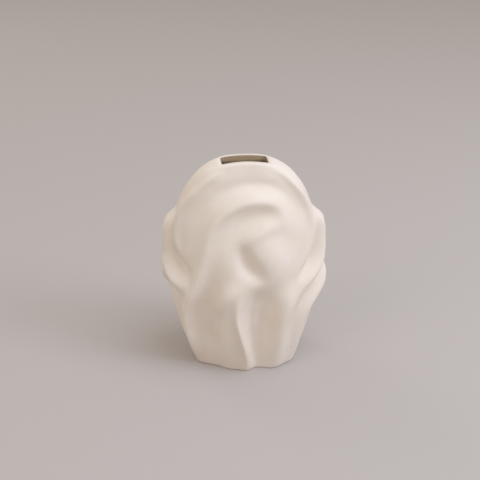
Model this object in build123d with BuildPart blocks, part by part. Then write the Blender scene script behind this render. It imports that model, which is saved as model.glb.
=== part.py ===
from build123d import *
import os

import numpy as np

# A pillow vase: a thick upright disc whose lower half is draped in soft folds,
# with a slot mouth along its arched top.
# Millimetres, +Z up, the front faces -Y, the origin is the middle of the foot.

# Outer form
HEIGHT = 200.0
FOOT_WIDTH = 100.0
FOOT_DEPTH = 84.0
FOOT_BEVEL = 1.2
BELLY_WIDTH = 140.0
BELLY_DEPTH = 101.0
DISC_WIDTH = 131.0

# Slot mouth in the arched top
MOUTH_LENGTH = 43.0
MOUTH_DEPTH = 19.5
MOUTH_CORNER = 2.0
LIP_WALL = 5.0
END_WALL = 4.0
LIP_HEIGHT = 9.0
ARCH_RADIUS = 100.0

# Clay and glaze
WALL = 5.5
FLOOR = 8.0
STRIP_SKIRT = 7.0
GLAZE = 0.5
GLAZE_BED = 0.25
FLOOR_COAT_GAP = 0.5

# Relief of the folds: the rise of the tallest ribbon and the reach of a common fold
FOLD_RISE = 12.0
FOLD_REACH = 8.0
INSIDE_RELIEF = 0.8

# Heights on the outer form as shares of the full height, and the knee's shares of the swell
KNEE_AT = 0.15
KNEE_WIDENING = 0.55
KNEE_DEEPENING = 0.7
BELLY_AT = 0.36
DISC_AT = 0.67

# Sections of the lofts, crowded towards both ends, and the share of the height that a slope is read over
RING_STEP = 3.5
CROWDING = 0.4
LEAST_SECTIONS = 3
STRIP_SECTIONS = 7
HALF_RING_POINTS = 49
BEADS_PER_SPAN = 6
SLOPE_STEP = 0.01

TOP_DEPTH = MOUTH_DEPTH + 2 * LIP_WALL
TOP_WIDTH = MOUTH_LENGTH + 2 * END_WALL

# How far the side profile has drawn in from belly to top, by share of the height.
# The knot below the belly mirrors the one above, so the belly has no edge.
DRAW_IN = (
    (0.245, 0.04),
    (BELLY_AT, 0.0),
    (0.475, 0.04),
    (0.59, 0.14),
    (0.69, 0.3),
    (0.78, 0.49),
    (0.86, 0.67),
    (0.92, 0.82),
    (0.96, 0.93),
    (1.0, 1.0),
)

# Squareness of the rings, by share of the height: 2 is an ellipse
SQUARENESS = (
    (0.0, 2.3),
    (0.25, 2.1),
    (0.6, 2.15),
    (0.85, 2.2),
    (0.92, 2.4),
    (0.97, 3.2),
    (1.0, 4.0),
)

# Folds of the front half, each a trail of
# (angle from the front in degrees, share of the height, share of FOLD_RISE, share of FOLD_REACH).
# The back half is the front half turned by half a turn.
FOLDS = {
    "left_rim": (
        (-60, 0.55, 0.0, 0.55),
        (-70, 0.63, 0.22, 0.5),
        (-71, 0.71, 0.3, 0.5),
        (-67, 0.79, 0.34, 0.5),
        (-54, 0.88, 0.3, 0.5),
        (-40, 0.95, 0.14, 0.5),
    ),
    "right_rim": (
        (44, 0.96, 0.12, 0.5),
        (57, 0.88, 0.28, 0.5),
        (65, 0.79, 0.3, 0.55),
        (66, 0.7, 0.25, 0.55),
        (62, 0.61, 0.2, 0.6),
        (50, 0.52, 0.0, 0.6),
    ),
    "rim_groove": (
        (-62, 0.62, 0.0, 1.2),
        (-58, 0.72, -0.14, 1.2),
        (-48, 0.81, -0.22, 1.2),
        (-33, 0.87, -0.28, 1.15),
        (-12, 0.9, -0.32, 1.1),
        (5, 0.905, -0.32, 1.1),
        (22, 0.895, -0.32, 1.1),
        (38, 0.85, -0.26, 1.15),
        (49, 0.77, -0.16, 1.2),
        (53, 0.68, 0.0, 1.2),
    ),
    "arch": (
        (-38, 0.57, 0.2, 0.9),
        (-35, 0.66, 0.3, 0.9),
        (-30, 0.735, 0.38, 0.9),
        (-20, 0.795, 0.44, 0.9),
        (-6, 0.832, 0.46, 0.9),
        (11, 0.843, 0.46, 0.9),
        (25, 0.835, 0.42, 0.9),
        (33, 0.79, 0.25, 1.0),
        (37, 0.71, 0.0, 1.2),
    ),
    "inner_groove": (
        (-18, 0.6, 0.0, 1.1),
        (-13, 0.68, -0.18, 1.05),
        (-4, 0.735, -0.26, 1.0),
        (6, 0.757, -0.22, 0.95),
        (15, 0.765, -0.1, 0.95),
        (23, 0.76, 0.0, 0.95),
    ),
    "lip": (
        (-8, 0.635, 0.0, 0.9),
        (0, 0.675, 0.12, 0.9),
        (10, 0.71, 0.15, 0.9),
        (20, 0.722, 0.12, 1.0),
        (29, 0.705, 0.06, 1.1),
        (34, 0.66, 0.0, 1.2),
    ),
    "cheek": (
        (8, 0.715, 0.22, 1.3),
        (11, 0.665, 0.55, 1.7),
        (17, 0.6, 0.62, 2.1),
        (24, 0.53, 0.45, 2.2),
        (28, 0.46, 0.0, 2.0),
    ),
    "hollow": (
        (-9, 0.64, 0.0, 0.7),
        (-9, 0.605, -0.4, 0.8),
        (-7, 0.565, -0.68, 0.9),
        (-2, 0.53, -0.8, 0.9),
        (4, 0.505, -0.6, 0.8),
        (10, 0.485, 0.0, 0.7),
    ),
    "chin": (
        (-3, 0.452, 0.0, 1.1),
        (-9, 0.44, 0.34, 1.1),
        (-16, 0.405, 0.46, 1.1),
        (-21, 0.355, 0.34, 1.0),
        (-25, 0.29, 0.0, 1.0),
    ),
    "drip": (
        (-7, 0.42, 0.05, 0.8),
        (-9, 0.36, 0.3, 0.6),
        (-10, 0.3, 0.42, 0.48),
        (-7, 0.2, 0.44, 0.46),
        (-3, 0.11, 0.36, 0.52),
        (-1, 0.03, 0.22, 0.75),
        (-2, -0.06, 0.12, 1.0),
    ),
    "right_ridge": (
        (36, 0.46, 0.0, 1.4),
        (31, 0.38, 0.35, 1.4),
        (28, 0.29, 0.5, 1.4),
        (27, 0.2, 0.46, 1.4),
        (31, 0.1, 0.26, 1.4),
        (36, -0.06, 0.1, 1.4),
    ),
    "valley": (
        (14, 0.44, 0.0, 1.2),
        (10, 0.4, -0.5, 1.5),
        (7, 0.33, -0.95, 1.5),
        (6, 0.25, -0.95, 1.3),
        (7, 0.15, -0.65, 1.05),
        (9, 0.05, -0.32, 0.95),
        (10, -0.06, -0.15, 0.95),
    ),
    "left_edge": (
        (-38, 0.57, 0.22, 0.85),
        (-42, 0.47, 0.45, 0.75),
        (-48, 0.38, 0.6, 0.65),
        (-53, 0.3, 0.7, 0.6),
        (-55, 0.22, 0.7, 0.6),
        (-56, 0.13, 0.55, 0.6),
        (-60, 0.04, 0.25, 0.65),
        (-62, -0.06, 0.1, 0.7),
    ),
    "panel": (
        (-26, 0.5, 0.0, 1.3),
        (-32, 0.4, -0.35, 1.4),
        (-37, 0.29, -0.55, 1.5),
        (-38, 0.17, -0.55, 1.6),
        (-37, 0.05, -0.4, 1.6),
        (-37, -0.06, -0.3, 1.5),
    ),
    "left_ribbon": (
        (-87, 0.756, 0.0, 0.6),
        (-86.5, 0.738, 0.5, 0.65),
        (-86, 0.708, 0.9, 0.7),
        (-86, 0.65, 1.0, 0.7),
        (-85, 0.58, 1.0, 0.7),
        (-80, 0.525, 0.95, 0.75),
        (-71, 0.488, 0.85, 0.8),
        (-62, 0.462, 0.6, 0.85),
        (-54, 0.44, 0.3, 0.85),
        (-48, 0.42, 0.0, 0.85),
    ),
    "left_crease": (
        (-80, 0.735, 0.0, 0.4),
        (-79, 0.68, -0.24, 0.4),
        (-77, 0.61, -0.32, 0.42),
        (-73, 0.565, -0.26, 0.5),
        (-68, 0.54, 0.0, 0.6),
    ),
    "left_pocket": (
        (-74, 0.61, 0.0, 0.6),
        (-69, 0.58, -0.45, 0.7),
        (-62, 0.553, -0.75, 0.8),
        (-55, 0.53, -0.65, 0.8),
        (-50, 0.51, -0.3, 0.75),
        (-46, 0.49, 0.0, 0.7),
    ),
    "right_ribbon": (
        (83, 0.762, 0.0, 0.65),
        (82, 0.742, 0.5, 0.7),
        (80, 0.71, 0.88, 0.75),
        (79, 0.65, 1.0, 0.8),
        (76, 0.57, 0.95, 0.8),
        (69, 0.505, 0.85, 0.9),
        (57, 0.46, 0.65, 0.95),
        (46, 0.42, 0.4, 0.95),
        (37, 0.36, 0.15, 1.0),
        (32, 0.31, 0.0, 1.0),
    ),
    "right_crease": (
        (74, 0.75, 0.0, 0.4),
        (72, 0.68, -0.35, 0.4),
        (69, 0.6, -0.4, 0.42),
        (60, 0.535, -0.35, 0.45),
        (48, 0.49, -0.2, 0.5),
        (40, 0.455, 0.0, 0.55),
    ),
    "hip_ribbon": (
        (92, 0.52, 0.0, 0.7),
        (89, 0.485, 0.5, 0.8),
        (86, 0.44, 0.85, 0.9),
        (78, 0.4, 0.8, 0.95),
        (66, 0.37, 0.66, 1.0),
        (55, 0.32, 0.48, 1.0),
        (48, 0.25, 0.38, 1.0),
        (48, 0.15, 0.3, 1.0),
        (52, 0.05, 0.25, 1.0),
        (54, -0.06, 0.2, 1.0),
    ),
    "hip_crease": (
        (88, 0.535, 0.0, 0.42),
        (82, 0.51, -0.42, 0.45),
        (70, 0.455, -0.4, 0.45),
        (58, 0.42, -0.34, 0.5),
        (47, 0.36, -0.2, 0.55),
        (42, 0.31, 0.0, 0.6),
    ),
}
FOLDS_END = 0.94
FOLDS_CLEAR = 0.995


def smooth_through(knots, place):
    """Cubic curve through (place, value) knots, read at the given places."""
    places, values = np.array(knots, float).T
    slopes = np.gradient(values, places)
    span = np.clip(np.searchsorted(places, place, side="right") - 1, 0, len(places) - 2)
    length = places[span + 1] - places[span]
    t = (place - places[span]) / length
    start = values[span] * (2 * t**3 - 3 * t**2 + 1) + slopes[span] * length * (t**3 - 2 * t**2 + t)
    end = values[span + 1] * (3 * t**2 - 2 * t**3) + slopes[span + 1] * length * (t**3 - t**2)
    return start + end


def ease(t):
    """Smooth step from 0 to 1."""
    t = np.clip(t, 0.0, 1.0)
    return t * t * (3 - 2 * t)


def half_width(z):
    """Front view: foot, knee and belly on one curve, then the round disc up to the mouth."""
    disc_z = DISC_AT * HEIGHT
    knee = FOOT_WIDTH + KNEE_WIDENING * (BELLY_WIDTH - FOOT_WIDTH)
    rise = ((0, FOOT_WIDTH), (KNEE_AT, knee), (BELLY_AT, BELLY_WIDTH), (2 * BELLY_AT - KNEE_AT, knee))
    lower = smooth_through(rise, z / HEIGHT)
    waist = BELLY_WIDTH + (DISC_WIDTH - BELLY_WIDTH) * ease((z / HEIGHT - BELLY_AT) / (DISC_AT - BELLY_AT))
    disc_rise = (HEIGHT - disc_z) / np.sqrt(1 - (TOP_WIDTH / DISC_WIDTH) ** 2)
    disc = DISC_WIDTH * np.sqrt(1 - (np.clip(z - disc_z, 0, HEIGHT - disc_z) / disc_rise) ** 2)
    return np.where(z < BELLY_AT * HEIGHT, lower, np.where(z < disc_z, waist, disc)) / 2


def half_depth(z):
    """Side view: a full belly that draws in to the thin disc at the top."""
    knee = FOOT_DEPTH + KNEE_DEEPENING * (BELLY_DEPTH - FOOT_DEPTH)
    rise = ((0, FOOT_DEPTH), (KNEE_AT, knee), (BELLY_AT, BELLY_DEPTH), (2 * BELLY_AT - KNEE_AT, knee))
    lower = smooth_through(rise, z / HEIGHT)
    upper = BELLY_DEPTH + (TOP_DEPTH - BELLY_DEPTH) * smooth_through(DRAW_IN, z / HEIGHT)
    return np.where(z < BELLY_AT * HEIGHT, lower, upper) / 2


def plain_form(angle, z):
    """Points of the form without folds and the outward direction in each ring's plane."""
    a, b = half_width(z), half_depth(z)
    n = smooth_through(SQUARENESS, np.clip(z / HEIGHT, 0, 1))
    s, c = np.sin(angle), np.cos(angle)
    reach = (np.abs(s) ** n + np.abs(c) ** n) ** (-1 / n)
    x, y = a * reach * s, -b * reach * c
    out_x = np.sign(s) * np.abs(s) ** (n - 1) / a
    out_y = -np.sign(c) * np.abs(c) ** (n - 1) / b
    size = np.hypot(out_x, out_y)
    return np.stack([x, y, z + 0 * angle], -1), np.stack([out_x / size, out_y / size], -1)


def fold_beads():
    """Each fold as a row of beads along its trail: centre, share of the rise and reach."""
    rows = []
    for trail in FOLDS.values():
        knots = np.array(trail, float)
        steps = np.arange(len(knots))
        along = (np.arange((len(knots) - 1) * BEADS_PER_SPAN) + 0.5) / BEADS_PER_SPAN
        angle, height, rise, reach = (
            smooth_through(np.column_stack([steps, column]), along) for column in knots.T
        )
        z = height * HEIGHT
        centres, _ = plain_form(np.radians(angle), z)
        spacing = np.linalg.norm(np.gradient(centres, axis=0), axis=1)
        width = reach * FOLD_REACH
        share = rise * FOLD_RISE * spacing / (width * np.sqrt(np.pi))
        rows.append(np.column_stack([centres, share, width]))
    return np.vstack(rows)


BEADS = fold_beads()


def fold_rise(points):
    """Summed height of all folds at points of the plain form."""
    total = 0
    for turn in (1, -1):
        away = points * np.array([turn, turn, 1.0])
        squared = ((away[:, None, :] - BEADS[None, :, :3]) ** 2).sum(-1)
        total = total + (BEADS[:, 3] * np.exp(-squared / BEADS[:, 4] ** 2)).sum(1)
    return total


def trace(angle, z, inset=0.0, relief=1.0):
    """Points of one level of the folded wall, moved inward by the inset."""
    points, outward = plain_form(angle, np.full(len(angle), float(z)))
    fade = 1 - ease((z / HEIGHT - FOLDS_END) / (FOLDS_CLEAR - FOLDS_END))
    push = relief * fade * fold_rise(points) - inset
    return points[:, :2] + push[:, None] * outward


def half_curve(z, inset=0.0, relief=1.0):
    """The front half of a level as a spline whose ends run on smoothly into the back half."""
    angle = np.linspace(-np.pi / 2, np.pi / 2, HALF_RING_POINTS)
    spacing = angle[1] - angle[0]
    wide = np.concatenate([[angle[0] - spacing], angle, [angle[-1] + spacing]])
    points = trace(wide, z, inset, relief)
    along = np.linspace(0, 1, HALF_RING_POINTS)
    ends = np.array([points[2] - points[0], points[-1] - points[-3]]) / (2 * along[1])
    return Edge.make_spline(points[1:-1].tolist(), ends.tolist(), parameters=along.tolist(), scale=False)


def full_curve(z, inset=0.0, relief=1.0):
    """A whole level as one closed spline."""
    count = 2 * HALF_RING_POINTS - 2
    angle = np.linspace(-np.pi, np.pi, count, endpoint=False)
    points = trace(angle, z, inset, relief)
    along = np.linspace(0, 1, count + 1)
    return Edge.make_spline(points.tolist(), periodic=True, parameters=along.tolist())


def level_wall(z):
    """Thickness of the wall along a level cut: WALL below, thinning to LIP_WALL at the mouth."""
    step = SLOPE_STEP * HEIGHT
    slope = (half_depth(np.array(z)) - half_depth(np.array(z - step))) / step
    thickness = WALL + (LIP_WALL - WALL) * ease((z / HEIGHT - DISC_AT) / (1 - DISC_AT))
    return float(thickness * np.sqrt(1 + slope**2))


def rising(low, high, least=LEAST_SECTIONS):
    """Heights of the sections from low to high, about RING_STEP apart and closer at the ends."""
    t = np.linspace(0, 1, max(least, round((high - low) / RING_STEP) + 1))
    return low + (high - low) * (t - CROWDING * np.sin(2 * np.pi * t) / (2 * np.pi))


def half_shell(low, high, outer_inset, inner_inset, outer_relief):
    """Front half of a shell, lofted through the C of clay that each level cuts."""
    with BuildPart() as shell:
        for z in rising(low, high):
            with BuildSketch(Plane.XY.offset(z)):
                with BuildLine():
                    outside = half_curve(z, outer_inset(z), outer_relief)
                    inside = half_curve(z, inner_inset(z), INSIDE_RELIEF)
                    add(outside)
                    add(inside)
                    Line(outside @ 0, inside @ 0)
                    Line(outside @ 1, inside @ 1)
                make_face()
        loft()
    return shell


ceiling = HEIGHT - LIP_HEIGHT
strip_seat = ceiling - STRIP_SKIRT

# Foot slab: the solid round of clay that the walls stand on, bevelled where it meets the table
with BuildPart() as base_slab:
    for z in (0.0, *rising(FOOT_BEVEL, FLOOR)):
        with BuildSketch(Plane.XY.offset(z)):
            with BuildLine():
                add(full_curve(z, FOOT_BEVEL if z == 0.0 else 0.0))
            make_face()
    loft()

# Front wall: the draped half shell; the back wall is the same shell turned by half a turn
front_wall = half_shell(FLOOR, strip_seat, lambda z: 0.0, level_wall, 1.0)
with BuildPart() as back_wall:
    add(front_wall.part.rotate(Axis.Z, 180))

# Mouth strip: the arched top, hollow below and cut by the slot
with BuildPart() as mouth_strip:
    for z in rising(strip_seat, HEIGHT, STRIP_SECTIONS):
        with BuildSketch(Plane.XY.offset(z)):
            with BuildLine():
                add(full_curve(z))
            make_face()
    loft()
    with BuildSketch(Plane.XZ):
        with Locations((0, HEIGHT - ARCH_RADIUS)):
            Circle(ARCH_RADIUS)
        Rectangle(2 * ARCH_RADIUS, HEIGHT - ARCH_RADIUS, align=(Align.CENTER, Align.MIN))
    extrude(amount=BELLY_DEPTH, both=True, mode=Mode.INTERSECT)
    for z in rising(strip_seat, ceiling):
        with BuildSketch(Plane.XY.offset(z)):
            with BuildLine():
                add(full_curve(z, level_wall(z), INSIDE_RELIEF))
            make_face()
    loft(mode=Mode.SUBTRACT)
    with BuildSketch(Plane.XY.offset(HEIGHT)):
        RectangleRounded(MOUTH_LENGTH, MOUTH_DEPTH, MOUTH_CORNER)
    extrude(amount=-(LIP_HEIGHT + STRIP_SKIRT), mode=Mode.SUBTRACT)

# Glaze: the thin watertight coat fired on the inside of the two walls and on the floor
front_glaze = half_shell(
    FLOOR,
    strip_seat,
    lambda z: level_wall(z) + GLAZE_BED,
    lambda z: level_wall(z) + GLAZE_BED + GLAZE,
    INSIDE_RELIEF,
)
with BuildPart() as back_glaze:
    add(front_glaze.part.rotate(Axis.Z, 180))
with BuildPart() as floor_glaze:
    for z in rising(FLOOR, FLOOR + GLAZE):
        with BuildSketch(Plane.XY.offset(z)):
            with BuildLine():
                add(full_curve(z, level_wall(z) + GLAZE_BED + GLAZE + FLOOR_COAT_GAP, INSIDE_RELIEF))
            make_face()
    loft()

os.makedirs("parts", exist_ok=True)
for name, piece in (
    ("base_slab", base_slab),
    ("front_wall", front_wall),
    ("back_wall", back_wall),
    ("mouth_strip", mouth_strip),
    ("front_glaze", front_glaze),
    ("back_glaze", back_glaze),
    ("floor_glaze", floor_glaze),
):
    piece.part.label = name
    export_step(piece.part, f"parts/{name}.step")
    print(name, len(piece.part.solids()), round(piece.part.volume), piece.part.is_valid)
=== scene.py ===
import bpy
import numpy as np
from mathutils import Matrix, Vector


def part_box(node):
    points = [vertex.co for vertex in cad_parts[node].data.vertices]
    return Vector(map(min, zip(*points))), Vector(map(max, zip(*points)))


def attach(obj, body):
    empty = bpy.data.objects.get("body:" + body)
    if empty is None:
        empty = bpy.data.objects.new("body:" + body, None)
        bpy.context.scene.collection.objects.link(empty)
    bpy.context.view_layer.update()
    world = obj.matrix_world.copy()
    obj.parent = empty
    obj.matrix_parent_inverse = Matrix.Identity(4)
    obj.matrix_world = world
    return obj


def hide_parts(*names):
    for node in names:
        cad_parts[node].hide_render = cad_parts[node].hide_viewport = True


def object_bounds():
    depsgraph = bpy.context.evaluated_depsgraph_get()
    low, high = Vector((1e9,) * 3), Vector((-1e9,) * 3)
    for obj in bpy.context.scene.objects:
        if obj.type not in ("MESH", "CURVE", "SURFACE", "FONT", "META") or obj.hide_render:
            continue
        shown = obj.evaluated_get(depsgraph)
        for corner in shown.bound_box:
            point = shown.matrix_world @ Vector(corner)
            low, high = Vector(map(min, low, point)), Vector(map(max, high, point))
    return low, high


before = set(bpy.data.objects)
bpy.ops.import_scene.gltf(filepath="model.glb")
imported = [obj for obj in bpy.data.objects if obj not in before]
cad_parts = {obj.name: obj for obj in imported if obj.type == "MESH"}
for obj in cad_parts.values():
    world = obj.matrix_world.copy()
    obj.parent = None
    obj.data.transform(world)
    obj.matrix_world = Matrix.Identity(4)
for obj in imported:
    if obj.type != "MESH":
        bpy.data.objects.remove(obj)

# %% [markdown]
# A pillow vase is a thick upright disc of clay with a slot for a mouth. On this one the lower half
# is draped in soft folds, as if cloth had been slung round it and fired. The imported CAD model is
# the frame: it fixes the size and the place of every piece, so this script measures it first and
# then lays a finely folded surface over it.

MM = 0.001
cad_low, cad_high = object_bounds()
HEIGHT = cad_high[2] / MM
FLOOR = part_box("base_slab")[1].z / MM
STRIP_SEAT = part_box("mouth_strip")[0].z / MM
print("height", round(HEIGHT, 1), "floor", round(FLOOR, 1), "strip seat", round(STRIP_SEAT, 1))

# %% [markdown]
# The plain form comes before the folds. A potter sees it in two profiles: from the front a round
# disc on a narrower foot, from the side a full belly that draws in to a thin top. Each level is
# then a ring as wide and as deep as those profiles say. A lathe-like Screw modifier could make
# round rings, but these are flattened and get squarer towards the slot, so they follow a formula.

# %% Profiles of the plain form, in millimetres
FOOT_WIDTH, FOOT_DEPTH = 100.0, 84.0
BELLY_WIDTH, BELLY_DEPTH, DISC_WIDTH = 140.0, 101.0, 131.0
MOUTH_LENGTH, MOUTH_DEPTH = 43.0, 19.5
LIP_WALL, END_WALL = 5.0, 4.0
TOP_DEPTH = MOUTH_DEPTH + 2 * LIP_WALL
TOP_WIDTH = MOUTH_LENGTH + 2 * END_WALL
# Levels of knee, belly and disc by share of the height, and how far the knee has filled out
KNEE_AT, BELLY_AT, DISC_AT = 0.15, 0.36, 0.67
KNEE_WIDENING, KNEE_DEEPENING = 0.55, 0.7

# How far the side profile has drawn in from belly to top, by share of the height
DRAW_IN = (
    (0.245, 0.04), (BELLY_AT, 0.0), (0.475, 0.04), (0.59, 0.14), (0.69, 0.3),
    (0.78, 0.49), (0.86, 0.67), (0.92, 0.82), (0.96, 0.93), (1.0, 1.0),
)
# Squareness of the rings, by share of the height: 2 is an ellipse
SQUARENESS = (
    (0.0, 2.3), (0.25, 2.1), (0.6, 2.15), (0.85, 2.2), (0.92, 2.4), (0.97, 3.2), (1.0, 4.0),
)


def smooth_through(knots, place):
    """Cubic curve through (place, value) knots, read at the given places."""
    places, values = np.array(knots, float).T
    slopes = np.gradient(values, places)
    span = np.clip(np.searchsorted(places, place, side="right") - 1, 0, len(places) - 2)
    length = places[span + 1] - places[span]
    t = (place - places[span]) / length
    start = values[span] * (2 * t**3 - 3 * t**2 + 1) + slopes[span] * length * (t**3 - 2 * t**2 + t)
    end = values[span + 1] * (3 * t**2 - 2 * t**3) + slopes[span + 1] * length * (t**3 - t**2)
    return start + end


def ease(t):
    """Smooth step from 0 to 1."""
    t = np.clip(t, 0.0, 1.0)
    return t * t * (3 - 2 * t)


def below_belly(foot, knee_share, belly, z):
    """Foot, knee and belly on one curve, mirrored past the belly so that it is upright there."""
    knee = foot + knee_share * (belly - foot)
    knots = ((0, foot), (KNEE_AT, knee), (BELLY_AT, belly), (2 * BELLY_AT - KNEE_AT, knee))
    return smooth_through(knots, z / HEIGHT)


def half_width(z):
    """Front view: from foot to belly, then the round disc up to the mouth."""
    disc_z = DISC_AT * HEIGHT
    lower = below_belly(FOOT_WIDTH, KNEE_WIDENING, BELLY_WIDTH, z)
    waist = BELLY_WIDTH + (DISC_WIDTH - BELLY_WIDTH) * ease((z / HEIGHT - BELLY_AT) / (DISC_AT - BELLY_AT))
    disc_rise = (HEIGHT - disc_z) / np.sqrt(1 - (TOP_WIDTH / DISC_WIDTH) ** 2)
    disc = DISC_WIDTH * np.sqrt(1 - (np.clip(z - disc_z, 0, HEIGHT - disc_z) / disc_rise) ** 2)
    return np.where(z < BELLY_AT * HEIGHT, lower, np.where(z < disc_z, waist, disc)) / 2


def half_depth(z):
    """Side view: a full belly that draws in to the thin disc at the top."""
    lower = below_belly(FOOT_DEPTH, KNEE_DEEPENING, BELLY_DEPTH, z)
    upper = BELLY_DEPTH + (TOP_DEPTH - BELLY_DEPTH) * smooth_through(DRAW_IN, z / HEIGHT)
    return np.where(z < BELLY_AT * HEIGHT, lower, upper) / 2


def ring(angle, a, b, n):
    """Points of a flattened ring and the outward direction in its plane; angle 0 is the front."""
    s, c = np.sin(angle), np.cos(angle)
    reach = (np.abs(s) ** n + np.abs(c) ** n) ** (-1 / n)
    out = np.stack([np.sign(s) * np.abs(s) ** (n - 1) / a, -np.sign(c) * np.abs(c) ** (n - 1) / b], -1)
    return np.stack([a * reach * s, -b * reach * c], -1), out / np.linalg.norm(out, axis=-1, keepdims=True)


def plain_form(angle, z):
    """The form without folds: points, and the outward direction at each."""
    n = smooth_through(SQUARENESS, np.clip(z / HEIGHT, 0, 1))
    flat, outward = ring(angle, half_width(z), half_depth(z), n)
    return np.concatenate([flat, (z + 0 * angle)[..., None]], -1), outward


print("belly", BELLY_WIDTH, "x", BELLY_DEPTH, "top", TOP_WIDTH, "x", TOP_DEPTH)

# %% [markdown]
# The folds are what makes this vase. In the studio they would be rolls of clay laid on and smoothed
# in, with hollows pressed by a thumb between them. Sculpting them by hand in Blender can't be
# repeated, so each fold is a trail over the surface: a few places with a rise above it or a dip
# below it and a reach to its sides. A row of soft round beads along the trail adds up to the fold.
# The back of the vase is the front turned by half a turn.

# %% Trails of the folds
FOLD_RISE = 12.0
FOLD_REACH = 8.0
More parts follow.
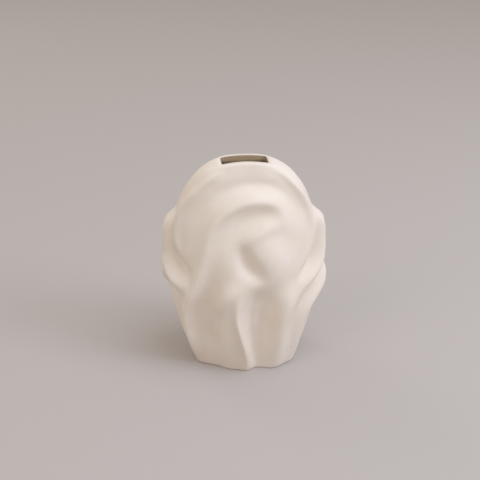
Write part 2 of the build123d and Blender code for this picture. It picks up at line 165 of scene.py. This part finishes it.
# (angle from the front in degrees, share of the height, share of FOLD_RISE, share of FOLD_REACH)
FOLDS = {
    "left_rim": (
        (-60, 0.51, 0.0, 0.55), (-68, 0.57, 0.2, 0.5), (-72.5, 0.64, 0.34, 0.5),
        (-73, 0.71, 0.38, 0.5), (-67.5, 0.79, 0.36, 0.5), (-54, 0.88, 0.3, 0.5),
        (-42, 0.94, 0.18, 0.5), (-31, 0.975, 0.0, 0.5),
    ),
    "right_rim": (
        (36, 0.985, 0.0, 0.5), (46, 0.95, 0.14, 0.5), (57, 0.88, 0.28, 0.5), (64.5, 0.79, 0.32, 0.55),
        (66, 0.7, 0.28, 0.55), (62, 0.61, 0.2, 0.6), (50, 0.52, 0.0, 0.6),
    ),
    "rim_groove": (
        (-60, 0.6, 0.0, 1.2), (-56, 0.7, -0.14, 1.2), (-46, 0.785, -0.24, 1.2), (-32, 0.85, -0.3, 1.2),
        (-12, 0.888, -0.34, 1.15), (5, 0.896, -0.34, 1.1), (22, 0.887, -0.34, 1.1),
        (38, 0.842, -0.28, 1.15), (49, 0.765, -0.16, 1.2), (53, 0.675, 0.0, 1.2),
    ),
    "arch": (
        (-38, 0.57, 0.2, 0.9), (-35, 0.66, 0.3, 0.85), (-28.5, 0.74, 0.4, 0.8),
        (-18, 0.803, 0.46, 0.85), (-5, 0.84, 0.48, 0.95), (11, 0.85, 0.46, 1.0),
        (24, 0.836, 0.38, 1.0), (32, 0.785, 0.24, 1.05), (36, 0.72, 0.08, 1.1), (37, 0.66, 0.0, 1.2),
    ),
    "inner_groove": (
        (-18, 0.6, 0.0, 1.1), (-13, 0.68, -0.18, 1.05), (-4, 0.737, -0.3, 1.05), (6, 0.762, -0.3, 1.0),
        (15, 0.772, -0.2, 0.95), (24, 0.77, 0.0, 0.95),
    ),
    "lip": (
        (-8, 0.64, 0.0, 0.9), (0, 0.682, 0.2, 0.85), (9, 0.715, 0.3, 0.85), (18, 0.735, 0.3, 0.9),
        (27, 0.742, 0.22, 1.1), (34, 0.71, 0.08, 1.2), (38, 0.66, 0.0, 1.2),
    ),
    "cheek": (
        (8, 0.69, 0.14, 1.3), (11, 0.65, 0.32, 1.8), (17, 0.595, 0.42, 2.2), (24, 0.53, 0.36, 2.3),
        (28, 0.46, 0.0, 2.0),
    ),
    "hollow": (
        (-4, 0.65, 0.0, 0.7), (-4.5, 0.615, -0.38, 0.9), (-3.5, 0.575, -0.62, 1.05),
        (0.5, 0.54, -0.7, 1.05), (5.5, 0.512, -0.54, 0.9), (10, 0.487, 0.0, 0.75),
    ),
    "chin": (
        (-5, 0.46, 0.0, 1.1), (-12, 0.44, 0.36, 1.1), (-18, 0.405, 0.46, 1.1), (-23, 0.355, 0.34, 1.0),
        (-27, 0.29, 0.0, 1.0),
    ),
    "drip": (
        (-7, 0.42, 0.05, 0.8), (-9, 0.36, 0.28, 0.55), (-10, 0.3, 0.38, 0.45), (-7, 0.2, 0.44, 0.44),
        (-3, 0.11, 0.42, 0.5), (-1, 0.03, 0.24, 0.75), (-2, -0.06, 0.12, 1.0),
    ),
    "right_ridge": (
        (36, 0.46, 0.0, 1.4), (31, 0.38, 0.38, 1.2), (28, 0.29, 0.55, 1.1), (26, 0.2, 0.55, 1.1),
        (27, 0.1, 0.42, 1.2), (31, -0.06, 0.18, 1.4),
    ),
    "drip_groove": (
        (8, 0.44, 0.0, 0.7), (4, 0.39, -0.24, 0.75), (1, 0.33, -0.38, 0.72), (0, 0.25, -0.42, 0.7),
        (2, 0.17, -0.36, 0.66), (4, 0.09, -0.26, 0.6), (5.5, 0.03, -0.14, 0.6),
        (5.5, -0.06, -0.08, 0.7),
    ),
    "valley": (
        (13, 0.45, 0.0, 1.2), (12, 0.4, -0.5, 1.45), (10, 0.33, -0.82, 1.55), (9, 0.25, -0.88, 1.45),
        (9.5, 0.17, -0.8, 1.25), (10.5, 0.09, -0.55, 1.0), (11, 0.03, -0.28, 0.9),
        (11, -0.06, -0.14, 0.9),
    ),
    "left_edge": (
        (-38, 0.57, 0.22, 0.85), (-42, 0.47, 0.45, 0.75), (-48, 0.38, 0.6, 0.65), (-53, 0.3, 0.7, 0.6),
        (-55, 0.22, 0.7, 0.6), (-56, 0.13, 0.55, 0.6), (-60, 0.04, 0.25, 0.65), (-62, -0.06, 0.1, 0.7),
    ),
    "panel": (
        (-26, 0.5, 0.0, 1.3), (-32, 0.4, -0.35, 1.4), (-37, 0.29, -0.55, 1.5), (-38, 0.17, -0.55, 1.6),
        (-37, 0.05, -0.4, 1.6), (-37, -0.06, -0.3, 1.5),
    ),
    "left_ribbon": (
        (-88, 0.746, 0.0, 0.6), (-87.5, 0.728, 0.5, 0.65), (-86.5, 0.7, 0.88, 0.7),
        (-85.5, 0.645, 1.0, 0.74), (-84.5, 0.58, 0.98, 0.75), (-81.5, 0.525, 0.92, 0.75),
        (-75, 0.477, 0.86, 0.78), (-66, 0.445, 0.65, 0.82), (-57, 0.42, 0.32, 0.85),
        (-50, 0.4, 0.0, 0.85),
    ),
    "left_crease": (
        (-77.5, 0.735, 0.0, 0.34), (-76.5, 0.68, -0.15, 0.32), (-75.5, 0.61, -0.22, 0.36),
        (-72.5, 0.565, -0.24, 0.45), (-67, 0.54, 0.0, 0.6),
    ),
    "left_pocket": (
        (-78, 0.6, 0.0, 0.6), (-74, 0.56, -0.32, 0.75), (-69, 0.525, -0.58, 0.9),
        (-62, 0.503, -0.66, 0.95), (-56, 0.49, -0.42, 0.9), (-51, 0.475, 0.0, 0.8),
    ),
    "right_ribbon": (
        (81.5, 0.754, 0.0, 0.65), (80.5, 0.734, 0.5, 0.7), (78.5, 0.704, 0.88, 0.78),
        (77.5, 0.645, 1.0, 0.82), (75, 0.57, 0.95, 0.82), (69, 0.505, 0.85, 0.9),
        (57, 0.46, 0.65, 0.95), (46, 0.42, 0.4, 0.95), (37, 0.36, 0.15, 1.0), (32, 0.31, 0.0, 1.0),
    ),
    "right_crease": (
        (72.5, 0.75, 0.0, 0.32), (71.5, 0.68, -0.2, 0.3), (68.5, 0.6, -0.32, 0.34),
        (60.5, 0.535, -0.35, 0.42), (48, 0.49, -0.2, 0.5), (40, 0.455, 0.0, 0.55),
    ),
    "hip_ribbon": (
        (93, 0.545, 0.0, 0.7), (90.5, 0.5, 0.5, 0.8), (86.5, 0.445, 0.83, 0.9), (78, 0.4, 0.8, 0.95),
        (66, 0.37, 0.66, 1.0), (55, 0.32, 0.48, 1.0), (48, 0.25, 0.38, 1.0), (48, 0.15, 0.3, 1.0),
        (52, 0.05, 0.25, 1.0), (54, -0.06, 0.2, 1.0),
    ),
    "hip_crease": (
        (84, 0.53, 0.0, 0.42), (78, 0.5, -0.3, 0.45), (68, 0.455, -0.4, 0.45), (58, 0.42, -0.34, 0.5),
        (47, 0.36, -0.2, 0.55), (42, 0.31, 0.0, 0.6),
    ),
}
# The folds fade out between these shares of the height, so the lip is plain
FOLDS_END, FOLDS_CLEAR = 0.94, 0.995
BEADS_PER_SPAN = 8


def fold_beads():
    """Each fold as a row of beads along its trail: centre, rise and reach in millimetres."""
    rows = []
    for trail in FOLDS.values():
        knots = np.array(trail, float)
        steps = np.arange(len(knots))
        along = (np.arange((len(knots) - 1) * BEADS_PER_SPAN) + 0.5) / BEADS_PER_SPAN
        angle, height, rise, reach = (
            smooth_through(np.column_stack([steps, column]), along) for column in knots.T
        )
        centres, _ = plain_form(np.radians(angle), height * HEIGHT)
        spacing = np.linalg.norm(np.gradient(centres, axis=0), axis=1)
        width = reach * FOLD_REACH
        bead_rise = rise * FOLD_RISE * spacing / (width * np.sqrt(np.pi))
        rows.append(np.column_stack([centres, bead_rise, width]))
    return np.vstack(rows)


BEADS = fold_beads()


def fold_rise(points):
    """Summed rise of all folds, in millimetres, at points of the plain form."""
    total = np.zeros(points.shape[:-1])
    for turn in (1, -1):
        away = points * (turn, turn, 1)
        for x, y, z, rise, width in BEADS:
            total += rise * np.exp(-((away - (x, y, z)) ** 2).sum(-1) / width**2)
    fade = 1 - ease((points[..., 2] / HEIGHT - FOLDS_END) / (FOLDS_CLEAR - FOLDS_END))
    return fade * total


print("folds", len(FOLDS), "beads", len(BEADS))

# %% [markdown]
# The clay body is one closed skin: up the outside, over the lip, down through the slot, along the
# hidden inside and over the inner floor. A Solidify modifier could thicken an open shell, but it
# would pinch at the slot, so the inside gets rings of its own. Every ring has the same number of
# points, which makes the faces a plain grid.

# %% Rings of the clay body
COLUMNS = 360
WALL = 5.5
# Share of the height over which the slope of the side profile is measured
SLOPE_STEP = 0.01
ANGLE = np.linspace(-np.pi, np.pi, COLUMNS, endpoint=False)


def level_wall(z):
    """Thickness of the wall along a level cut: WALL below, thinning to LIP_WALL at the mouth."""
    step = SLOPE_STEP * HEIGHT
    slope = (half_depth(z) - half_depth(z - step)) / step
    thickness = WALL + (LIP_WALL - WALL) * ease((z / HEIGHT - DISC_AT) / (1 - DISC_AT))
    return thickness * np.sqrt(1 + slope**2)


def wall_rows(levels, inset=0.0, relief=1.0):
    """Rings of the wall at the given levels: points, outward directions and fold shares."""
    z = np.asarray(levels, float)[:, None]
    points, outward = plain_form(ANGLE[None, :], z)
    share = relief * fold_rise(points) / FOLD_RISE
    points[..., :2] -= np.broadcast_to(inset, z.shape)[..., None] * outward
    return points, outward, share


def flat_rows(sizes):
    """Rings without folds, each from (half width, half depth, squareness, level)."""
    rows = [ring(ANGLE, a, b, n) + (z,) for a, b, n, z in sizes]
    points = np.array([np.column_stack([flat, np.full(COLUMNS, z)]) for flat, _, z in rows])
    return points, np.array([out for _, out, _ in rows]), np.zeros(points.shape[:2])


def shrink_rows(rows, shares):
    """Copies of the last ring of rows, drawn in towards the axis by the given shares."""
    points, outward, fold = (part[-1] for part in rows)
    copies = np.array([points * (share, share, 1) for share in shares])
    return copies, np.array([outward] * len(shares)), np.array([fold * share for share in shares])


print("rings of", COLUMNS, "points, wall", WALL, "thinning to", LIP_WALL)

# %% Stack the rings from under the foot to the inner floor
SOLE_ROWS, FOOT_ROWS, OUTSIDE_ROWS, TOP_ROWS, INSIDE_ROWS, FLOOR_ROWS = 14, 6, 150, 36, 50, 8
FOOT_BEVEL = 1.2
LIP_HEIGHT, LIP_ROUND = 9.0, 4.0
SLOT_SQUARENESS = 14.0
# Levels of the slot's rings below the crown, and of its last ring above the ceiling
SLOT_DROPS, SLOT_FOOT = (0.6, 2.0, 5.0), 1.0
# The inside follows the folds at this share of their depth
INSIDE_RELIEF = 0.8
# Shares of the last ring at which a floor starts and stops, just short of the axis
FLOOR_EDGE, NEAR_AXIS = 0.9, 0.02
ceiling = HEIGHT - LIP_HEIGHT
foot_round = np.linspace(0, np.pi / 2, FOOT_ROWS)
foot_inset = FOOT_BEVEL * (1 - np.sin(foot_round))
foot = wall_rows(FOOT_BEVEL * (1 - np.cos(foot_round)), foot_inset[:, None])
sole = shrink_rows([part[:1] for part in foot], np.linspace(NEAR_AXIS, 1 - NEAR_AXIS, SOLE_ROWS))
outside = wall_rows(np.linspace(FOOT_BEVEL, STRIP_SEAT, OUTSIDE_ROWS)[1:])
top = wall_rows(np.linspace(STRIP_SEAT, HEIGHT, TOP_ROWS)[1:])
half_slot = (MOUTH_LENGTH / 2, MOUTH_DEPTH / 2)
slot_levels = (HEIGHT + LIP_ROUND, *(HEIGHT - drop for drop in SLOT_DROPS), ceiling + SLOT_FOOT)
slot = flat_rows([(*half_slot, SLOT_SQUARENESS, z) for z in slot_levels])
inner_levels = np.linspace(ceiling, FLOOR, INSIDE_ROWS)
inside = wall_rows(inner_levels, level_wall(inner_levels)[:, None], INSIDE_RELIEF)
inner_floor = shrink_rows(inside, np.linspace(FLOOR_EDGE, NEAR_AXIS, FLOOR_ROWS))
stack = (sole, foot, outside, top, slot, inside, inner_floor)
body_rows = [np.concatenate(parts) for parts in zip(*stack)]
first_inner = sum(len(part[0]) for part in (sole, foot, outside, top)) + 1
# From the slot inward the clay is marked for a darker inside tone: partly the glaze, partly painted shade
# of the deep slot.
glazed_and_shaded = np.zeros(body_rows[2].shape)
glazed_and_shaded[first_inner:] = 1.0
print("rings in the body", len(glazed_and_shaded), "of them glazed", len(glazed_and_shaded) - first_inner)

# %% Bend the top down to the arched crown
ARCH_RADIUS = 100.0


def under_arch(points):
    """Presses what stands above the arch down to it, and rounds the edge where the wall meets it."""
    crown = HEIGHT - points[..., 0] ** 2 / (2 * ARCH_RADIUS)
    z = points[..., 2]
    close = np.clip(1 - np.abs(z - crown) / LIP_ROUND, 0, None)
    points[..., 2] = np.minimum(z, crown) - close**2 * LIP_ROUND / 4
    return points


body_rows[0] = under_arch(body_rows[0])
print("crown at", round(body_rows[0][..., 2].max(), 2))

# %% [markdown]
# The grid of rings becomes a mesh with three attributes on its points: which way is outward, how
# much fold there is, and whether it lies inside the body, where the glaze poured in through the slot
# warms the tone and painted shade darkens the deep slot. A Geometry Nodes tree then raises the folds
# and adds the slight waver that a hand leaves in clay, so their strength can be changed in one place.

# %% Mesh from rings


def closed_mesh(name, points, outward, fold, glaze_shade):
    """A mesh over stacked rings, closed by a point at each end."""
    rows, columns = points.shape[:2]
    corner = np.arange(rows * columns).reshape(rows, columns)
    low, high = corner[:-1], corner[1:]
    quads = np.stack([low, np.roll(low, -1, 1), np.roll(high, -1, 1), high], -1).reshape(-1, 4)
    first, last = rows * columns, rows * columns + 1
    start = [(first, int(b), int(a)) for a, b in zip(corner[0], np.roll(corner[0], -1))]
    end = [(last, int(a), int(b)) for a, b in zip(corner[-1], np.roll(corner[-1], -1))]
    ends = np.array([[0, 0, points[0, 0, 2]], [0, 0, points[-1, 0, 2]]])
    places = np.vstack([points.reshape(-1, 3), ends]) * MM
    mesh = bpy.data.meshes.new(name)
    mesh.from_pydata(places.tolist(), [], quads.tolist() + start + end)
    flat_out = np.pad(np.vstack([outward.reshape(-1, 2), np.zeros((2, 2))]), ((0, 0), (0, 1)))
    mesh.attributes.new("outward", "FLOAT_VECTOR", "POINT").data.foreach_set("vector", flat_out.ravel())
    fold_values = np.append(fold.ravel(), (0, 0))
    mesh.attributes.new("fold", "FLOAT", "POINT").data.foreach_set("value", fold_values)
    # The last attribute marks the inside, which the material darkens: the glaze tone and painted shade of
    # the slot.
    glaze_shade_values = np.append(glaze_shade.ravel(), (glaze_shade[0, 0], glaze_shade[-1, 0]))
    mesh.attributes.new("glazed_and_shaded", "FLOAT", "POINT").data.foreach_set("value", glaze_shade_values)
    mesh.update()
    return mesh


body_mesh = closed_mesh("clay_body_form", *body_rows, glazed_and_shaded)
print("faces", len(body_mesh.polygons), "rings and points", body_rows[0].shape[:2])

# %% [markdown]
# Colours are written as the hex values a paint card would show. Blender mixes light in linear
# values, so one function turns hex to linear. A second small function adds a node with its
# settings and links: every tree below is made with it.

# %% Two helpers for nodes


def colour(hex_code):
    """Linear colour, with alpha, from an sRGB hex code."""
    parts = [int(hex_code[i:i + 2], 16) / 255 for i in (0, 2, 4)]
    return [p / 12.92 if p <= 0.04045 else ((p + 0.055) / 1.055) ** 2.4 for p in parts] + [1.0]


def add_node(tree, kind, inputs=None, **settings):
    """Adds a node, sets its properties, and fills its inputs with values or links."""
    node = tree.nodes.new(kind)
    for name, value in settings.items():
        setattr(node, name, value)
    for key, value in (inputs or {}).items():
        if isinstance(value, bpy.types.NodeSocket):
            tree.links.new(value, node.inputs[key])
        else:
            node.inputs[key].default_value = value
    return node


print("middle grey 808080 in linear values", [round(part, 3) for part in colour("808080")])

# %% [markdown]
# The clay is a fine white stoneware, smoothed with a damp sponge and fired without a shine. To the
# eye that is a warm off-white with no highlights, a very fine tooth, a faint cloudiness where the
# clay dried unevenly and a few tiny specks of iron. A flat colour looks like plastic, so the
# cloudiness and the specks each get a pattern at their real size, and the tooth a coarser one.

# %% Matte stoneware
# Specks lie about four of their widths apart; the tooth is drawn coarser than it is, so that it shows
CLOUD_MM, SPECK_MM, SPECK_SPACING = 34.0, 1.6, 4
TOOTH_MM, TOOTH_DEEP_MM = 0.9, 0.08
stoneware = bpy.data.materials.new("matte_stoneware")
stoneware.use_nodes = True
tree = stoneware.node_tree
shader = tree.nodes["Principled BSDF"]
place = add_node(tree, "ShaderNodeTexCoord").outputs["Object"]
cloud = add_node(
    tree, "ShaderNodeTexNoise",
    {"Vector": place, "Scale": 1 / (CLOUD_MM * MM), "Detail": 4.0},
)
specks = add_node(
    tree, "ShaderNodeTexVoronoi",
    {"Vector": place, "Scale": 1 / (SPECK_MM * SPECK_SPACING * MM)},
)
tooth = add_node(
    tree, "ShaderNodeTexNoise",
    {"Vector": place, "Scale": 1 / (TOOTH_MM * MM), "Detail": 3.0},
)
cloud_share = add_node(
    tree, "ShaderNodeMapRange",
    {"Value": cloud.outputs["Fac"], "From Min": 0.35, "From Max": 0.65},
)
ground = add_node(
    tree, "ShaderNodeMix",
    {"Factor": cloud_share.outputs["Result"], "A": colour("E6DACD"), "B": colour("ECE2D8")},
    data_type="RGBA",
)
speck_share = add_node(
    tree, "ShaderNodeMapRange",
    {
        "Value": specks.outputs["Distance"],
        "From Min": 0.05, "From Max": 0.13, "To Min": 0.15, "To Max": 0.0,
    },
)
speckled = add_node(
    tree, "ShaderNodeMix",
    {"Factor": speck_share.outputs["Result"], "A": ground.outputs["Result"], "B": colour("C9B8A2")},
    data_type="RGBA",
)
# Inside the body the colour turns to BFA98B, darker and browner: partly the warm tone of the glaze, partly
# painted shade in the deep narrow slot.
glaze_shade_share = add_node(tree, "ShaderNodeAttribute", attribute_name="glazed_and_shaded")
skin = add_node(
    tree, "ShaderNodeMix",
    {"Factor": glaze_shade_share.outputs["Fac"], "A": speckled.outputs["Result"], "B": colour("BFA98B")},
    data_type="RGBA",
)
tree.links.new(skin.outputs["Result"], shader.inputs["Base Color"])
roughness = add_node(
    tree, "ShaderNodeMapRange",
    {"Value": cloud.outputs["Fac"], "To Min": 0.56, "To Max": 0.68},
)
tree.links.new(roughness.outputs["Result"], shader.inputs["Roughness"])
bump = add_node(
    tree, "ShaderNodeBump",
    {"Height": tooth.outputs["Fac"], "Strength": 0.25, "Distance": TOOTH_DEEP_MM * MM},
)
tree.links.new(bump.outputs["Normal"], shader.inputs["Normal"])
shader.inputs["IOR"].default_value = 1.5
print("material", stoneware.name, "nodes", len(tree.nodes))

# %% [markdown]
# Inside, a vase needs a coat of clear glaze, or it would sweat water through the clay. Thin glaze
# over stoneware is warmer and deeper in tone than the bare clay, has a soft shine and gathers in
# slow ripples where it ran before it froze. A clear layer over clay could be traced as glass, but
# little of it is seen through the slot, so a tinted skin with a soft shine stands for both.

# %% Clear liner glaze
RIPPLE_MM, RIPPLE_DEEP_MM = 14.0, 0.4
liner = bpy.data.materials.new("clear_liner_glaze")
liner.use_nodes = True
tree = liner.node_tree
shader = tree.nodes["Principled BSDF"]
place = add_node(tree, "ShaderNodeTexCoord").outputs["Object"]
ripple = add_node(
    tree, "ShaderNodeTexNoise",
    {"Vector": place, "Scale": 1 / (RIPPLE_MM * MM), "Detail": 2.0},
)
pooled = add_node(
    tree, "ShaderNodeMix",
    {"Factor": ripple.outputs["Fac"], "A": colour("C2AD90"), "B": colour("D3C1A7")},
    data_type="RGBA",
)
tree.links.new(pooled.outputs["Result"], shader.inputs["Base Color"])
bump = add_node(
    tree, "ShaderNodeBump",
    {"Height": ripple.outputs["Fac"], "Strength": 0.4, "Distance": RIPPLE_DEEP_MM * MM},
)
tree.links.new(bump.outputs["Normal"], shader.inputs["Normal"])
shader.inputs["Roughness"].default_value = 0.28
shader.inputs["IOR"].default_value = 1.52
print("material", liner.name, "nodes", len(tree.nodes))

# %% [markdown]
# The tree below is the potter's hand: it pushes each point outward by its share of the fold rise
# and then lets the surface waver, by 0.15 mm at most to either side. A Displace modifier could do
# either, but not both from one set of named inputs. The sole stays flat, because the waver fades
# out near the table.

# %% Geometry Nodes tree that raises the folds
WAVER_MM, WAVER_SIZE_MM, WAVER_SEED = 0.3, 26.0, 7.0
WAVER_FADE_MM = 4 * FOOT_BEVEL
hand = bpy.data.node_groups.new("raise_folds", "GeometryNodeTree")
for name, kind in (
    ("Geometry", "NodeSocketGeometry"), ("Fold Rise", "NodeSocketFloat"), ("Waver", "NodeSocketFloat"),
    ("Waver Size", "NodeSocketFloat"), ("Seed", "NodeSocketFloat"), ("Finish", "NodeSocketMaterial"),
):
    hand.interface.new_socket(name, in_out="INPUT", socket_type=kind)
hand.interface.new_socket("Geometry", in_out="OUTPUT", socket_type="NodeSocketGeometry")
given = add_node(hand, "NodeGroupInput").outputs
outward = add_node(hand, "GeometryNodeInputNamedAttribute", {"Name": "outward"}, data_type="FLOAT_VECTOR")
share = add_node(hand, "GeometryNodeInputNamedAttribute", {"Name": "fold"}, data_type="FLOAT")
rise = add_node(hand, "ShaderNodeMath", {0: share.outputs[0], 1: given["Fold Rise"]}, operation="MULTIPLY")
push = add_node(
    hand, "ShaderNodeVectorMath", {0: outward.outputs[0], "Scale": rise.outputs[0]}, operation="SCALE"
)
folded = add_node(
    hand, "GeometryNodeSetPosition", {"Geometry": given["Geometry"], "Offset": push.outputs[0]}
)
position = add_node(hand, "GeometryNodeInputPosition").outputs[0]
pitch = add_node(hand, "ShaderNodeMath", {0: 1.0, 1: given["Waver Size"]}, operation="DIVIDE")
noise = add_node(
    hand, "ShaderNodeTexNoise",
    {"Vector": position, "W": given["Seed"], "Scale": pitch.outputs[0], "Detail": 1.0},
    noise_dimensions="4D",
)
level = add_node(hand, "ShaderNodeSeparateXYZ", {0: position}).outputs["Z"]
lifted = add_node(
    hand, "ShaderNodeMapRange", {"Value": level, "From Min": 0.0, "From Max": WAVER_FADE_MM * MM}
)
swing = add_node(hand, "ShaderNodeMath", {0: noise.outputs[0], 1: 0.5}, operation="SUBTRACT")
sized = add_node(hand, "ShaderNodeMath", {0: swing.outputs[0], 1: given["Waver"]}, operation="MULTIPLY")
faded = add_node(hand, "ShaderNodeMath", {0: sized.outputs[0], 1: lifted.outputs[0]}, operation="MULTIPLY")
normal = add_node(hand, "GeometryNodeInputNormal").outputs[0]
waver = add_node(hand, "ShaderNodeVectorMath", {0: normal, "Scale": faded.outputs[0]}, operation="SCALE")
wavy = add_node(
    hand, "GeometryNodeSetPosition", {"Geometry": folded.outputs[0], "Offset": waver.outputs[0]}
)
smooth = add_node(hand, "GeometryNodeSetShadeSmooth", {"Geometry": wavy.outputs[0]})
real = add_node(hand, "GeometryNodeRealizeInstances", {"Geometry": smooth.outputs[0]})
dressed = add_node(
    hand, "GeometryNodeSetMaterial", {"Geometry": real.outputs[0], "Material": given["Finish"]}
)
add_node(hand, "NodeGroupOutput", {0: dressed.outputs[0]})
print("tree", hand.name, "nodes", len(hand.nodes))


def shaped(name, form, finish, waver_mm):
    """Runs the tree on a form and returns the result as a plain mesh object."""
    maker = bpy.data.objects.new(name + "_form", form)
    bpy.context.scene.collection.objects.link(maker)
    modifier = maker.modifiers.new("hand", "NODES")
    modifier.node_group = hand
    wanted = {
        "Fold Rise": FOLD_RISE * MM, "Waver": waver_mm * MM, "Waver Size": WAVER_SIZE_MM * MM,
        "Seed": WAVER_SEED, "Finish": finish,
    }
    for item in hand.interface.items_tree:
        if item.in_out == "INPUT" and item.name in wanted:
            modifier[item.identifier] = wanted[item.name]
    bpy.context.view_layer.update()
    raised = maker.evaluated_get(bpy.context.evaluated_depsgraph_get())
    mesh = bpy.data.meshes.new_from_object(raised)
    mesh.name = name
    bpy.data.objects.remove(maker)
    piece = bpy.data.objects.new(name, mesh)
    bpy.context.scene.collection.objects.link(piece)
    return piece


# %% Raise the folds of the clay body
body = shaped("clay_body", body_mesh, stoneware, WAVER_MM)
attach(body, "root")
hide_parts("base_slab", "front_wall", "back_wall", "mouth_strip")
body.data.calc_loop_triangles()
size_mm = [round(side / MM, 1) for side in body.dimensions]
print("clay body triangles", len(body.data.loop_triangles), "size mm", size_mm)

# %% [markdown]
# The liner is the coat of glaze on the inside, half a millimetre thick. It is a cup inside a cup:
# its rings go up its outer side and down its inner one, a hair clear of the clay. A Solidify
# modifier could give it its thickness, but its rings are at hand already. The same tree gives it
# the folds, without the waver.

# %% Glaze liner
# Thickness of the glaze, and its gaps to the clay of the wall and of the floor
GLAZE, GLAZE_BED, GLAZE_LIFT = 0.5, 0.25, 0.01
rising = np.linspace(FLOOR + GLAZE_LIFT, STRIP_SEAT, INSIDE_ROWS)
falling = np.linspace(STRIP_SEAT, FLOOR + GLAZE, INSIDE_ROWS)
coat_out = wall_rows(rising, level_wall(rising)[:, None] + GLAZE_BED, INSIDE_RELIEF)
coat_in = wall_rows(falling, level_wall(falling)[:, None] + GLAZE_BED + GLAZE, INSIDE_RELIEF)
coat_under = shrink_rows([part[:1] for part in coat_out], np.linspace(NEAR_AXIS, FLOOR_EDGE, FLOOR_ROWS))
coat_floor = shrink_rows(coat_in, np.linspace(FLOOR_EDGE, NEAR_AXIS, FLOOR_ROWS))
coat_rows = [np.concatenate(parts) for parts in zip(coat_under, coat_out, coat_in, coat_floor)]
liner_mesh = closed_mesh("glaze_liner_form", *coat_rows, np.ones(coat_rows[2].shape))
lining = shaped("glaze_lining", liner_mesh, liner, 0.0)
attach(lining, "root")
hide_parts("front_glaze", "back_glaze", "floor_glaze")
print("glaze lining faces", len(lining.data.polygons))

# %% [markdown]
# The stage is a plain sheet in a small product studio. A big cool lamp hangs above and to the right
# and a smaller one stands at the right, where it models the folds. These two alone would leave the
# left side dull, so two weak warm ones fill it and wash the sheet behind. The rest is a pale
# surround, which keeps the shadow faint and the hollows warm.

# %% Floor
sheet_material = bpy.data.materials.new("studio_sheet")
sheet_material.use_nodes = True
shader = sheet_material.node_tree.nodes["Principled BSDF"]
shader.inputs["Base Color"].default_value = colour("BAB4B1")
shader.inputs["Roughness"].default_value = 0.9
SHEET_HALF_M = 4.0
sides = ((-1, -1), (1, -1), (1, 1), (-1, 1))
sheet_mesh = bpy.data.meshes.new("studio_sheet")
sheet_mesh.from_pydata([(x * SHEET_HALF_M, y * SHEET_HALF_M, 0) for x, y in sides], [], [(0, 1, 2, 3)])
sheet_mesh.materials.append(sheet_material)
sheet = bpy.data.objects.new("studio_sheet", sheet_mesh)
bpy.context.scene.collection.objects.link(sheet)
print("sheet", 2 * SHEET_HALF_M, "m wide")

# %% Lamps and surround
AIM = Vector((0, 0, HEIGHT * MM / 2))


def soft_lamp(name, place, size, watts, hex_code):
    """A round soft lamp that points at the middle of the vase; place and size are in metres."""
    lamp = bpy.data.lights.new(name, "AREA")
    lamp.shape = "DISK"
    lamp.size = size
    lamp.energy = watts
    lamp.color = colour(hex_code)[:3]
    holder = bpy.data.objects.new(name, lamp)
    holder.location = place
    holder.rotation_euler = (AIM - Vector(place)).to_track_quat("-Z", "Y").to_euler()
    bpy.context.scene.collection.objects.link(holder)


soft_lamp("overhead_softbox", (0.75, -0.5, 2.2), size=2.0, watts=19.0, hex_code="E2EDFF")
soft_lamp("right_lamp", (1.5, -0.8, 1.1), size=0.9, watts=12.5, hex_code="E4EEFF")
soft_lamp("left_fill", (-1.3, -1.1, 1.5), size=1.2, watts=4.2, hex_code="FFF9F2")
soft_lamp("floor_wash", (-1.2, 1.6, 1.4), size=1.2, watts=4.0, hex_code="FFFAF5")
world = bpy.data.worlds.new("pale_surround")
bpy.context.scene.world = world
world.use_nodes = True
surround = world.node_tree.nodes["Background"]
surround.inputs["Color"].default_value = colour("FFF6EC")
surround.inputs["Strength"].default_value = 0.62
bpy.context.scene.view_settings.view_transform = "Standard"

# %% [markdown]
# The camera stands a little to the left and looks down by 24 degrees, so the slot shows. A helper
# that frames the selection would centre the vase, but here it sits a little low, so lens and place
# are worked out for a square picture of 480 pixels.

# %% Camera
PICTURE = 480.0
ELEVATION, AZIMUTH = np.radians(24.0), np.radians(-6.0)
DISTANCE_MM, FOCAL_PIXELS, SENSOR_MM = 900.0, 939.0, 36.0
CENTRE_PIXEL = (244.0, 256.9)
level_part = np.cos(ELEVATION)
back = Vector((np.sin(AZIMUTH) * level_part, -np.cos(AZIMUTH) * level_part, np.sin(ELEVATION)))
right = Vector((np.cos(AZIMUTH), np.sin(AZIMUTH), 0))
up = back.cross(right)
pixels_per_mm = FOCAL_PIXELS / DISTANCE_MM
aside = (PICTURE / 2 - CENTRE_PIXEL[0]) / pixels_per_mm
above = (CENTRE_PIXEL[1] - PICTURE / 2) / pixels_per_mm
eye = AIM + (right * aside + up * above + back * DISTANCE_MM) * MM
camera = bpy.data.cameras.new("camera")
camera.sensor_width = SENSOR_MM
camera.lens = SENSOR_MM * FOCAL_PIXELS / PICTURE
viewer = bpy.data.objects.new("camera", camera)
turn = Matrix((right, up, back)).transposed().to_4x4()
turn.translation = eye
viewer.matrix_world = turn
bpy.context.scene.collection.objects.link(viewer)
bpy.context.scene.camera = viewer
print("lens mm", round(camera.lens, 1))
